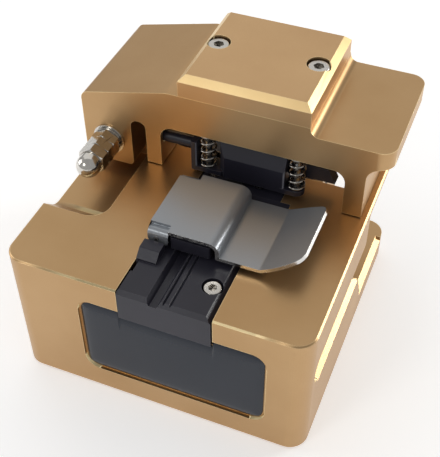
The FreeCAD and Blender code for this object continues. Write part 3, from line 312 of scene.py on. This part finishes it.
def spread(tree, value, low, high):
    """Map the middle of a 0 to 1 value, where a noise mostly lies, onto a range."""
    node = tree.nodes.new("ShaderNodeMapRange")
    node.inputs["From Min"].default_value = 0.3
    node.inputs["From Max"].default_value = 0.7
    node.inputs["To Min"].default_value = low
    node.inputs["To Max"].default_value = high
    tree.links.new(value, node.inputs["Value"])
    return node.outputs[0]


# how far in from a sharp edge the painted highlight reaches
EDGE_REACH = 0.3 * MM
# near-black colour of the painted shade in sockets and gaps
PAINTED_SHADE_COLOUR = (0.012, 0.012, 0.013)


def blasted_metal(name, dark, light, edge, metallic, roughness, depth=0.25, gain=5.0,
                  specular=0.5):
    """Anodised or blasted metal: cloudy colour, gritty sheen and paler worn edges.

    The dark, light and edge colours are sRGB codes; the edge colour is the painted highlight.
    """
    dark, light, edge = srgb(dark), srgb(light), srgb(edge)
    material, tree, shader = new_material(name, metallic, roughness)
    shader.inputs["Specular IOR Level"].default_value = specular
    grain = place_group(tree, GRAIN, Vector=object_coordinates(tree), Depth=depth)
    highlight = place_group(tree, EDGE_HIGHLIGHT, Radius=EDGE_REACH, Gain=gain)
    cloudy = mix_colour(tree, spread(tree, grain.outputs["Cloud"], 0.0, 1.0), dark, light)
    gritty = mix_colour(tree, spread(tree, grain.outputs["Grit"], 0.0, 0.25), cloudy, light)
    # painted highlight: the paler edge colour mixed in along sharp edges
    highlit = mix_colour(tree, highlight.outputs["Mask"], gritty, edge)
    tree.links.new(highlit, shader.inputs["Base Color"])
    rough = spread(tree, grain.outputs["Grit"], roughness - 0.06, roughness + 0.06)
    tree.links.new(rough, shader.inputs["Roughness"])
    tree.links.new(grain.outputs["Normal"], shader.inputs["Normal"])
    return material


def brushed_metal(name, dark, light, roughness, stretch, depth=0.2, metallic=1.0, shade_reach=0.0):
    """Brushed, turned or drawn metal: fine lines in colour, sheen and bump.

    A shade reach, if given, is how far apart in metres the walls of a hollow may be for them to be
    painted darker: painted shade in sockets and gaps.
    """
    dark, light = srgb(dark), srgb(light)
    material, tree, shader = new_material(name, metallic, roughness)
    brush = place_group(tree, BRUSH, Vector=object_coordinates(tree), Stretch=stretch, Depth=depth)
    lines = spread(tree, brush.outputs["Lines"], 0.0, 1.0)
    colour = mix_colour(tree, lines, dark, light)
    # painted shade: darken towards near black where ambient occlusion finds close walls
    if shade_reach:
        hollow = tree.nodes.new("ShaderNodeAmbientOcclusion")
        hollow.samples = 4
        hollow.inputs["Distance"].default_value = shade_reach
        unshaded_share = spread(tree, hollow.outputs["AO"], 0.0, 1.0)
        colour = mix_colour(tree, unshaded_share, PAINTED_SHADE_COLOUR, colour)
    tree.links.new(colour, shader.inputs["Base Color"])
    rough = spread(tree, brush.outputs["Lines"], roughness - 0.07, roughness + 0.07)
    tree.links.new(rough, shader.inputs["Roughness"])
    tree.links.new(brush.outputs["Normal"], shader.inputs["Normal"])
    return material


def label_resin():
    """A dark glossy resin label with a faint cloud of blue grey."""
    material, tree, shader = new_material("label_resin", 0.0, 0.22)
    shader.inputs["Specular IOR Level"].default_value = 0.35
    grain = place_group(tree, GRAIN, Vector=object_coordinates(tree), Depth=0.01, Grit=900.0)
    colour = mix_colour(tree, spread(tree, grain.outputs["Cloud"], 0.0, 1.0),
                        srgb("191f2b"), srgb("1f2632"))
    tree.links.new(colour, shader.inputs["Base Color"])
    tree.links.new(grain.outputs["Normal"], shader.inputs["Normal"])
    return material


def make_materials():
    """One material for each of the record's slots, and three for faces that differ from theirs."""
    # the third colour of each blasted metal is its painted edge highlight
    return {
        "gold": blasted_metal("gold_anodised", "ba966a", "c4a176", "ffe8b4",
                              1.0, 0.40),
        "black_anodised": blasted_metal("black_anodised", "201f29", "2a2934",
                                        "72727a", 0.0, 0.40, gain=1.2, specular=0.45),
        "gold_cap": blasted_metal("gold_cap", "c8a276", "d1ac7f", "ffe8b4",
                                  1.0, 0.40),
        # paler bare cut metal, and a painted highlight on the bevels that face halfway up
        "gold_cut_highlight": blasted_metal("gold_cut_highlight", "e6c48d", "f0d29b", "ffeec2",
                                  1.0, 0.34, depth=0.5),
        "sheet_edge": brushed_metal("sheet_edge", "dcdad6", "eceae6", 0.22,
                                    (900.0, 900.0, 900.0), depth=0.02),
        "brushed": brushed_metal("satin_sheet", "9da1a6", "a2a6ab", 0.36,
                                 (3000.0, 3000.0, 3000.0), depth=0.02, metallic=0.7),
        "steel": brushed_metal("machined_steel", "c2beb8", "cac6c0", 0.26,
                               (2500.0, 2500.0, 2500.0), depth=0.01, shade_reach=0.0008),
        "bright": brushed_metal("bright_nickel", "d0ccc5", "dad6cf", 0.16,
                                (900.0, 900.0, 900.0), depth=0.02, shade_reach=0.0006),
        "spring_wire": brushed_metal("spring_wire", "98948e", "b3afa9", 0.22,
                                     (600.0, 600.0, 600.0), depth=0.04),
        "carbide": brushed_metal("ground_carbide", "80838a", "a4a7ad", 0.2,
                                 (3000.0, 200.0, 3000.0)),
        "label": label_resin(),
        "rubber": blasted_metal("moulded_rubber", "1d1d1e", "28282a", "303032",
                                0.0, 0.75, gain=1.0),
        "brass": brushed_metal("bronze_bush", "9a7434", "c79c52", 0.3,
                               (2000.0, 200.0, 2000.0)),
        "button": blasted_metal("moulded_button", "222224", "2c2c2f", "3a3a3d",
                                0.0, 0.5, gain=1.0),
    }


def dress_nodes(materials):
    """Give every CAD node the material of its record slot."""
    slots = {part["node"]: part["material_slot"] for part in frame["record"]["subparts"]}
    for name, node in NODES.items():
        node.data.materials.clear()
        node.data.materials.append(materials[slots[name]])


# ---------------------------------------------------------------- pieces made here

BLOCK_WIDTH, BLOCK_HEIGHT, FOOT_PROUD = 80.0, 41.4, 0.5
DECK = CAD_LOW[2] + (BLOCK_HEIGHT + FOOT_PROUD) * MM
LEFT = FRONT = -BLOCK_WIDTH / 2 * MM


def deck_place(x, y, z):
    """Points of the deck frame, in mm from the left and front walls and the deck, in metres."""
    x, y, z = np.broadcast_arrays(x, y, z)
    return np.stack([LEFT + x * MM, FRONT + y * MM, DECK + z * MM], axis=-1)


def grid_faces(rows, columns, start=0, closed=False):
    """Quads of a grid of points, the columns joined round if closed."""
    row = np.arange(rows - 1)[:, None]
    column = np.arange(columns if closed else columns - 1)[None, :]
    after = (column + 1) % columns
    corners = [row * columns + column, row * columns + after,
               (row + 1) * columns + after, (row + 1) * columns + column]
    return np.stack([c + 0 * row for c in corners], axis=-1).reshape(-1, 4) + start


def mesh_piece(name, points, faces, material, body, slot_name, *nodes):
    """A smooth shaded piece from points and quads, riding on a body in place of CAD nodes."""
    mesh = bpy.data.meshes.new(name)
    mesh.from_pydata(np.asarray(points).reshape(-1, 3).tolist(), [], np.asarray(faces).tolist())
    mesh.polygons.foreach_set("use_smooth", np.ones(len(mesh.polygons), bool))
    mesh.materials.append(material)
    piece = bpy.data.objects.new(name, mesh)
    bpy.context.scene.collection.objects.link(piece)
    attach(piece, body)
    if nodes:
        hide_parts(*nodes)
    return piece


def weld(mesh, reach):
    """Points closer than reach become one, so that runs that meet share their edge."""
    work = bmesh.new()
    work.from_mesh(mesh)
    bmesh.ops.remove_doubles(work, verts=work.verts, dist=reach)
    work.to_mesh(mesh)
    work.free()


def add_modifier(piece, kind, **values):
    """Give a piece a modifier with its settings."""
    modifier = piece.modifiers.new(kind.lower(), kind)
    for label, value in values.items():
        setattr(modifier, label, value)


WELD_REACH = 0.002 * MM
FLAT_LIMIT = math.radians(0.6)
SHARP_LIMIT = math.radians(28.0)
CUT_AREA = 1e-5


def softened_copy(node, body, material, width, cut_highlight_material=None):
    """A copy of a CAD node, welded, its flat faces joined and its sharp edges rounded by a width.

    A second material, if given, goes on the broad bevels that face halfway up: paler bare cut
    metal, which also paints the highlight these bevels catch.
    """
    source = NODES[node]
    work = bmesh.new()
    work.from_mesh(source.data)
    bmesh.ops.remove_doubles(work, verts=work.verts, dist=WELD_REACH)
    bmesh.ops.dissolve_limit(work, angle_limit=FLAT_LIMIT, verts=work.verts,
                             edges=work.edges)
    edges = [edge for edge in work.edges if len(edge.link_faces) == 2
             and edge.calc_face_angle(0.0) > SHARP_LIMIT and edge.calc_length() > width * 2.2]
    bmesh.ops.bevel(work, geom=edges, offset=width, offset_type="OFFSET", segments=2,
                    profile=0.6, affect="EDGES", clamp_overlap=True, miter_outer="ARC")
    mesh = bpy.data.meshes.new(node + "_soft")
    work.to_mesh(mesh)
    work.free()
    mesh.polygons.foreach_set("use_smooth", np.ones(len(mesh.polygons), bool))
    mesh.set_sharp_from_angle(angle=math.radians(50))
    mesh.materials.append(material)
    if cut_highlight_material is not None:
        mesh.materials.append(cut_highlight_material)
        slant = np.empty(len(mesh.polygons) * 3)
        mesh.polygons.foreach_get("normal", slant)
        area = np.empty(len(mesh.polygons))
        mesh.polygons.foreach_get("area", area)
        up = slant.reshape(-1, 3)[:, 2]
        # painted highlight: only bevels facing halfway up, towards the lamps, get the paler cut
        # gold
        cut_and_lit = (up > 0.6) & (up < 0.8) & (area > CUT_AREA)
        mesh.polygons.foreach_set("material_index", cut_and_lit.astype(np.int32))
    piece = bpy.data.objects.new(node + "_soft", mesh)
    bpy.context.scene.collection.objects.link(piece)
    add_modifier(piece, "WEIGHTED_NORMAL", keep_sharp=True, weight=80)
    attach(piece, body)
    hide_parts(node)


def rounded_path(corners, steps=6):
    """Points along straight runs whose corners (u, v, radius) are rounded by arcs."""
    points = [np.array(corners[0][:2], float)]
    for before, corner, after in zip(corners, corners[1:], corners[2:]):
        here = np.array(corner[:2], float)
        into = here - np.array(before[:2], float)
        out = np.array(after[:2], float) - here
        into /= np.linalg.norm(into)
        out /= np.linalg.norm(out)
        turn = math.acos(np.clip(into @ out, -1, 1))
        back = corner[2] * math.tan(turn / 2)
        start = here - into * back
        inward = out - into * (into @ out)
        inward /= np.linalg.norm(inward)
        angle = np.linspace(0, turn, steps)[:, None]
        arc = start + corner[2] * (np.sin(angle) * into + (1 - np.cos(angle)) * inward)
        points.extend(arc)
    points.append(np.array(corners[-1][:2], float))
    return np.array(points)


def thicken_runs(path, longest):
    """The same path with its runs divided so that none is longer than the longest."""
    pieces = []
    for a, b in zip(path[:-1], path[1:]):
        count = max(1, int(np.ceil(np.linalg.norm(b - a) / longest)))
        pieces.append(a + (b - a) * np.linspace(0, 1, count, endpoint=False)[:, None])
    return np.vstack(pieces + [path[-1:]])


SHEET_THICK = 1.0


def make_press_sheet(material, edge_material):
    """The press plate: a bent strip whose front edge sweeps back along the tab, and two ears.

    The strip is a grid, one way along the bent side view and one way from the front edge to the
    back edge, whose places depend on x.  Each ear goes on from an edge round a quarter circle and
    straight down, to a lower end whose corners are rounded.  Solidify gives the wall, which
    stands above the strip's path and inside the ears' outer faces.
    """
    left, right, front, back = 31.9, 71.4, 17.0, 39.5
    high, low, tip, step, bend = 5.3, 1.3, 6.4, 49.8, 61.4
    ear_right, turn, ear_low, ear_round = left + 5.5, 1.5, 1.2, 1.3
    sweep, tip_round, notch = 3.2, 1.6, 0.05
    strip_columns, ear_columns, turn_rows, down_rows = 24, 16, 8, 7

    side = rounded_path([(left, high), (step, high, 1.7), (step, low, 0.6), (bend, low, 2.5),
                         (right, tip)])
    side = thicken_runs(side, 0.6)
    side = side[side[:, 0] > ear_right + 0.1]
    ear_x = np.linspace(left, ear_right, ear_columns)
    x = np.concatenate([ear_x, [ear_right + notch], side[:, 0]])
    z = np.concatenate([0 * ear_x + high, [high], side[:, 1]])
    on_ear = (x <= ear_right + 0.01).astype(float)
    along = np.clip((x - bend) / (right - bend), 0, 1)
    end = np.clip((x - (right - tip_round)) / tip_round, 0, 1)
    corner = tip_round * (1 - np.sqrt(np.maximum(1 - end ** 2, 0)))
    near_edge = front + turn * on_ear + sweep * along ** 2.4 + corner
    far_edge = back - turn * on_ear - corner * 0.9 - 0.5 * along ** 3
    across = np.linspace(0, 1, strip_columns)[None, :]
    y = near_edge[:, None] + (far_edge - near_edge)[:, None] * across
    points = [deck_place(x[:, None], y, z[:, None]).reshape(-1, 3)]
    faces = [grid_faces(len(x), strip_columns)]

    start = points[0].shape[0]
    ear_rows = turn_rows + down_rows
    inset = np.clip(np.minimum(ear_x - left, ear_right - ear_x) / ear_round, 0, 1)
    bottom = ear_low + ear_round * (1 - np.sqrt(np.clip(1 - (1 - inset) ** 2, 0, 1)))
    angle = np.linspace(0, math.pi / 2, turn_rows)[:, None]
    down = np.linspace(0, 1, down_rows + 1)[1:, None]
    for edge, way in ((front, 1.0), (back, -1.0)):
        ear_y = np.vstack([edge + way * turn * (1 - np.sin(angle)) + 0 * ear_x,
                           np.full((down_rows, ear_columns), edge)])
        ear_z = np.vstack([high - turn * (1 - np.cos(angle)) + 0 * ear_x,
                           high - turn + (bottom - (high - turn)) * down])
        points.append(deck_place(ear_x[None, :], ear_y, ear_z).reshape(-1, 3))
        quads = grid_faces(ear_rows, ear_columns, start)
        faces.append(quads if way < 0 else quads[:, ::-1])
        start += ear_rows * ear_columns

    piece = mesh_piece("press_sheet", np.vstack(points), np.vstack(faces), material, "flap",
                       "brushed", "press_plate")
    piece.data.materials.append(edge_material)
    weld(piece.data, WELD_REACH)
    add_modifier(piece, "SOLIDIFY", thickness=SHEET_THICK * MM, offset=-1.0,
                 use_quality_normals=True, material_offset_rim=1)
    add_modifier(piece, "BEVEL", width=0.16 * MM, segments=2, limit_method="ANGLE",
                 angle_limit=math.radians(50), harden_normals=True)


def tube(centre, side_a, side_b, radius, ring=10):
    """Points of a tube round a centre line: radius * (cos * side_a + sin * side_b) added to it."""
    angle = np.linspace(0, 2 * math.pi, ring, endpoint=False)[None, :, None]
    return centre[:, None, :] + radius * (np.cos(angle) * side_a[:, None, :]
                                          + np.sin(angle) * side_b[:, None, :])


CLOSED_TURNS = 0.9


def coil_points(radius, length, wire, turns):
    """Centre line of a coil about the u axis, its end turns closed up, and two normals to it.

    The line is (rise, radius cos, radius sin) of the turned angle.  The rise goes up by 1.6 times
    the wire's radius over each closed end, and evenly between.
    """
    t = np.linspace(0, turns, int(turns * 28) + 1)
    ends = [0, CLOSED_TURNS, turns - CLOSED_TURNS, turns]
    rise = np.interp(t, ends, [wire, wire * 2.6, length - wire * 2.6, length - wire])
    angle = t * 2 * math.pi
    out = np.stack([0 * t, np.cos(angle), np.sin(angle)], axis=-1)
    centre = out * radius
    centre[:, 0] = rise
    along = np.gradient(centre, axis=0)
    along /= np.linalg.norm(along, axis=1)[:, None]
    return centre, out, np.cross(along, out)


def make_coil(name, material, body, node, foot, axes, radius, length, wire, turns):
    """A wire spring from its foot, with the coil's u, v, w laid along three row axes.

    Its ends are closed by a ring of points that all lie at the middle of the first or last ring.
    """
    centre, out, side = coil_points(radius, length, wire, turns)
    points = tube(centre, out, side, wire)
    first = points[:1].mean(axis=1, keepdims=True)
    last = points[-1:].mean(axis=1, keepdims=True)
    points = np.vstack([first + 0 * points[:1], points, last + 0 * points[-1:]])
    points = np.asarray(foot) + points @ np.array(axes, float) * MM
    return mesh_piece(name, points, grid_faces(points.shape[0], points.shape[1], closed=True),
                      material, body, "spring_wire", node)


WIRE_RADIUS = 0.33
CLAMP_SPRINGS = (("left", 35.3), ("right", 59.9))
CLAMP_SPRING_Y, CLAMP_SPRING_LOW, CLAMP_SPRING_HIGH = 48.2, 2.4, 13.5
DRIVE_LEFT, DRIVE_RIGHT, DRIVE_Y, DRIVE_Z = 35.0, 60.0, 62.0, -24.0


def make_springs(material):
    """The two clamp springs and the carriage spring."""
    upright = [(0, 0, 1), (1, 0, 0), (0, 1, 0)]
    lying = [(1, 0, 0), (0, 1, 0), (0, 0, 1)]
    for side, x in CLAMP_SPRINGS:
        foot = deck_place(x, CLAMP_SPRING_Y, CLAMP_SPRING_LOW)
        top = deck_place(x, CLAMP_SPRING_Y, CLAMP_SPRING_HIGH)
        spring = make_coil("coil_" + side, material, "lever", "clamp_spring_" + side, foot, upright,
                           2.0, CLAMP_SPRING_HIGH - CLAMP_SPRING_LOW, WIRE_RADIUS, 5.5)
        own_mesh(spring)
    foot = deck_place(DRIVE_LEFT, DRIVE_Y, DRIVE_Z)
    stop = deck_place(DRIVE_RIGHT, DRIVE_Y, DRIVE_Z)
    spring = make_coil("coil_drive", material, "base", "drive_spring", foot, lying,
                       2.75, DRIVE_RIGHT - DRIVE_LEFT, WIRE_RADIUS, 7.0)
    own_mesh(spring)


def make_label_dome(material):
    """The bare label: a rounded rectangle that swells to a shallow dome, notched at the top.

    Each column of the grid runs from the lower to the upper edge at its x.  Both edges are
    rounded at the corners, and the upper one steps down under the guide.  The face stands
    proud by a height that grows with the distance from the nearest edge and levels off.
    """
    left, right, low, top, radius = 20.4, 69.0, -33.2, -8.1, 3.4
    notch_left, notch_right, notch_top, notch_wall = 31.0, 55.9, -9.95, 0.02
    edge_depth, back_depth, swell_height, swell_reach = 0.73, 0.88, 0.62, 0.9

    bend = radius * (1 - np.cos(np.linspace(0, math.pi / 2, 10)))
    x = np.unique(np.concatenate([
        left + bend, right - bend, np.linspace(left + radius, right - radius, 60),
        [notch_left - notch_wall, notch_left, notch_right, notch_right + notch_wall]]))
    inward = np.clip(radius - np.minimum(x - left, right - x), 0, radius)
    corner = radius - np.sqrt(radius ** 2 - inward ** 2)
    in_notch = (x >= notch_left) & (x <= notch_right)
    upper = np.where(in_notch, notch_top, top - corner)[:, None]
    lower = (low + corner)[:, None]
    up = (1 - np.cos(np.linspace(0, math.pi, 40)))[None, :] / 2
    z = lower + (upper - lower) * up

    across = np.minimum(x - left, right - x)[:, None]
    gap = np.minimum(np.minimum(across, z - low), top - z)
    gap = np.minimum(gap, np.minimum(z - lower, upper - z) + 0.4 * corner[:, None])
    swell = swell_height * (1 - np.exp(-np.maximum(gap, 0) / swell_reach))
    face = deck_place(x[:, None], edge_depth - swell, z).reshape(-1, 3)
    back = deck_place(x[:, None], np.full_like(z, back_depth), z).reshape(-1, 3)

    rows, columns = z.shape
    ring = np.concatenate([np.arange(rows) * columns,
                           (rows - 1) * columns + np.arange(1, columns),
                           np.arange(rows - 2, -1, -1) * columns + columns - 1,
                           np.arange(columns - 2, 0, -1)])
    after = np.roll(ring, -1)
    side = np.stack([after, ring, ring + len(face), after + len(face)], axis=-1)
    back_faces = grid_faces(rows, columns, len(face))[:, ::-1]
    faces = np.vstack([grid_faces(rows, columns), back_faces, side])
    mesh_piece("label_dome", np.vstack([face, back]), faces, material, "base", "label",
               "label_plate")


# node, body, slot and width of the rounding in mm
SOFTENED = (
    ("base_block", "base", "gold", 0.28),
    ("press_lever", "lever", "gold", 0.28),
    ("fibre_guide", "base", "black_anodised", 0.12),
    ("clamp_block", "clamp", "black_anodised", 0.14),
    ("front_clamp_base", "base", "black_anodised", 0.15),
    ("press_pad_holder", "flap", "black_anodised", 0.15),
    ("hex_nut", "lever", "bright", 0.10),
)


# ---------------------------------------------------------------- build

def main():
    bpy.context.scene.view_settings.view_transform = "Standard"
    make_camera()
    make_world()
    make_lamps()
    make_floor()
    materials = make_materials()
    dress_nodes(materials)
    for node, body, slot_name, width in SOFTENED:
        softened_copy(node, body, materials[slot_name], width * MM)
    softened_copy("lever_cap", "lever", materials["gold_cap"], 0.16 * MM,
                  cut_highlight_material=materials["gold_cut_highlight"])
    make_press_sheet(materials["brushed"], materials["sheet_edge"])
    make_springs(materials["spring_wire"])
    make_label_dome(materials["label"])


main()
